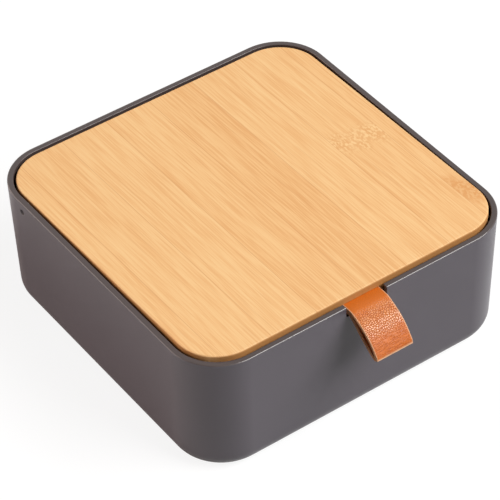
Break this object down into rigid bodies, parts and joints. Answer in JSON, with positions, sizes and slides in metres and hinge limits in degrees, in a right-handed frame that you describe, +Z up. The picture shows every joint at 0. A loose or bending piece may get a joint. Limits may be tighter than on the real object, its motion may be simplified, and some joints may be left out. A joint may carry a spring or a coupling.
{
  "type": "pivot-lid jewellery box",
  "caption": "Square round-cornered jewellery box with a see-saw bamboo lid, a leather pull loop, padded ring rolls and divided compartments.",
  "frame": {"origin": "on the ground, at the middle of the footprint of the case and its loop together", "axes": "+X to the right seen from the front, +Y from the loop towards the pins at the back, +Z up"},
  "size_m": [0.18, 0.2009, 0.072],
  "materials": {
    "case_plastic": "satin",
    "lid_bamboo": "satin lacquer",
    "divider_bamboo": "satin",
    "strap_leather": "pebbled",
    "steel": "bright",
    "bush_nylon": "satin",
    "foot_rubber": "matte",
    "liner_felt": "felt",
    "roll_velvet": "velvet",
    "mirror_glass": "polished"
  },
  "bodies": {
    "case": {"case_shell": "case_plastic", "case_foot_front_left": "foot_rubber", "case_foot_front_right": "foot_rubber", "case_foot_rear_left": "foot_rubber", "case_foot_rear_right": "foot_rubber", "hinge_pin_left": "steel", "hinge_pin_right": "steel", "lid_bumper_left": "foot_rubber", "lid_bumper_right": "foot_rubber", "floor_liner": "liner_felt", "divider_across": "divider_bamboo", "divider_along": "divider_bamboo", "divider_short": "divider_bamboo", "ring_board": "liner_felt", "ring_roll_1": "roll_velvet", "ring_roll_2": "roll_velvet", "ring_roll_3": "roll_velvet", "ring_roll_4": "roll_velvet", "ring_roll_5": "roll_velvet", "ring_roll_6": "roll_velvet"},
    "lid": {"lid_board": "lid_bamboo", "lid_mirror": "mirror_glass", "pull_strap": "strap_leather", "strap_screw_left": "steel", "strap_screw_right": "steel", "pivot_bush_left": "bush_nylon", "pivot_bush_right": "bush_nylon"}
  },
  "joints": [
    {"name": "lid_pivot", "type": "hinge", "parent": "case", "child": "lid", "pos_m": [0, 0.0695, 0.06415], "axis": [-1, 0, 0], "range_deg": [0, 99]}
  ]
}
